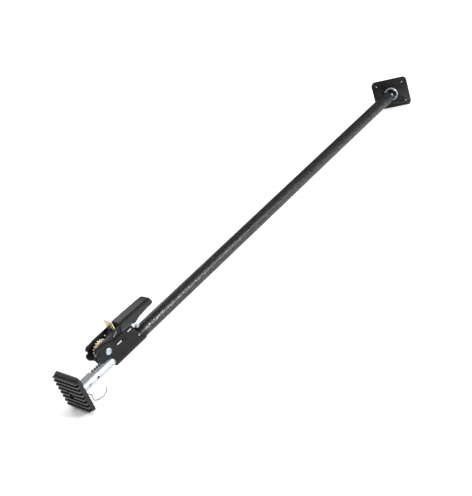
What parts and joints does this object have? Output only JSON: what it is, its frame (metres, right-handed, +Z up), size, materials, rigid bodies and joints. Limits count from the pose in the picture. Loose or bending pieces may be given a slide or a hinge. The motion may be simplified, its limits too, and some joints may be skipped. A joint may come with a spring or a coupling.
{
  "type": "ratcheting load bar",
  "caption": "Ratcheting load bar with a rack jack, a lever handle, a ribbed rubber foot and a swivelling plate foot, braced between two walls to hold cargo.",
  "frame": {"origin": "middle of the ribbed gripping face of the rubber foot, on the axis of the main tube", "axes": "+X along the bar towards the plate foot, +Z up towards the ratchet handle, +Y across the bar"},
  "size_m": [1.6376, 0.1162, 0.151],
  "materials": {
    "hammered_paint": "black hammered paint on steel",
    "black_paint": "satin black paint on steel",
    "zinc": "bright zinc plated steel",
    "yellow_zinc": "yellow zinc plated steel",
    "rack_steel": "dark oiled steel",
    "grip_plastic": "moulded black plastic",
    "sleeve_plastic": "glossy black plastic",
    "foot_rubber": "moulded black rubber"
  },
  "bodies": {
    "bar": {"main_tube": "hammered_paint", "housing": "black_paint", "axle": "zinc", "axle_spacers": "zinc", "hold_spring": "zinc", "spring_post": "zinc", "side_pins": "zinc", "saddle_bolt": "zinc", "saddle_washer": "zinc", "end_sleeve": "sleeve_plastic"},
    "wheel": {"ratchet_wheel": "yellow_zinc"},
    "holding_pawl": {"hold_pawl": "zinc"},
    "handle": {"handle_arms": "black_paint", "grip": "grip_plastic", "grip_pins": "black_paint", "drive_spring": "zinc"},
    "release": {"drive_pawl": "yellow_zinc"},
    "jack": {"jack_tube": "zinc", "rack": "rack_steel", "guide_bush": "grip_plastic", "foot_post": "zinc", "foot_plate": "black_paint", "foot_pad": "foot_rubber", "foot_screw": "zinc"},
    "lock_pin": {"bail_pin": "zinc"},
    "bail": {"bail_wire": "zinc"},
    "ball": {"ball_stud": "zinc", "stud_nut": "zinc"},
    "far_foot": {"ball_cup": "black_paint", "socket_ring": "zinc", "cup_rivets": "zinc", "far_plate": "black_paint", "far_pad": "foot_rubber"}
  },
  "joints": [
    {"name": "jack_slide", "type": "slide", "parent": "bar", "child": "jack", "axis": [-1, 0, 0], "range_m": [-0.048, 0.288]},
    {"name": "wheel_spin", "type": "hinge", "parent": "bar", "child": "wheel", "pos_m": [0.133, 0, 0.04001], "axis": [0, 1, 0], "range_deg": [-109, 649]},
    {"name": "handle_swing", "type": "hinge", "parent": "bar", "child": "handle", "pos_m": [0.133, 0, 0.04001], "axis": [0, -1, 0], "range_deg": [0, 78]},
    {"name": "release_slide", "type": "slide", "parent": "handle", "child": "release", "axis": [0.8862, 0, 0.4633], "range_m": [-0.0034, 0.003], "stiffness_N_per_m": 300, "springref_m": -0.006, "deforming": ["drive_spring"]},
    {"name": "holding_slide", "type": "slide", "parent": "bar", "child": "holding_pawl", "axis": [1, 0, 0], "range_m": [-0.0034, 0.004], "stiffness_N_per_m": 300, "springref_m": -0.006, "deforming": ["hold_spring"]},
    {"name": "pin_slide", "type": "slide", "parent": "jack", "child": "lock_pin", "axis": [0, 1, 0], "range_m": [0, 0.046]},
    {"name": "bail_swing", "type": "hinge", "parent": "lock_pin", "child": "bail", "pos_m": [0.052, 0, -0.00235], "axis": [0, -1, 0], "range_deg": [-15, 50]},
    {"name": "stud_spin", "type": "hinge", "parent": "bar", "child": "ball", "pos_m": [1.596, 0, 0], "axis": [1, 0, 0], "continuous": true},
    {"name": "foot_swivel", "type": "hinge", "parent": "ball", "child": "far_foot", "pos_m": [1.596, 0, 0], "axis": [0, 0, 1], "range_deg": [-53, 3]}
  ],
  "couplings": [
    {"joint": "wheel_spin", "follows": "jack_slide", "rad_per_m": 39.27}
  ]
}
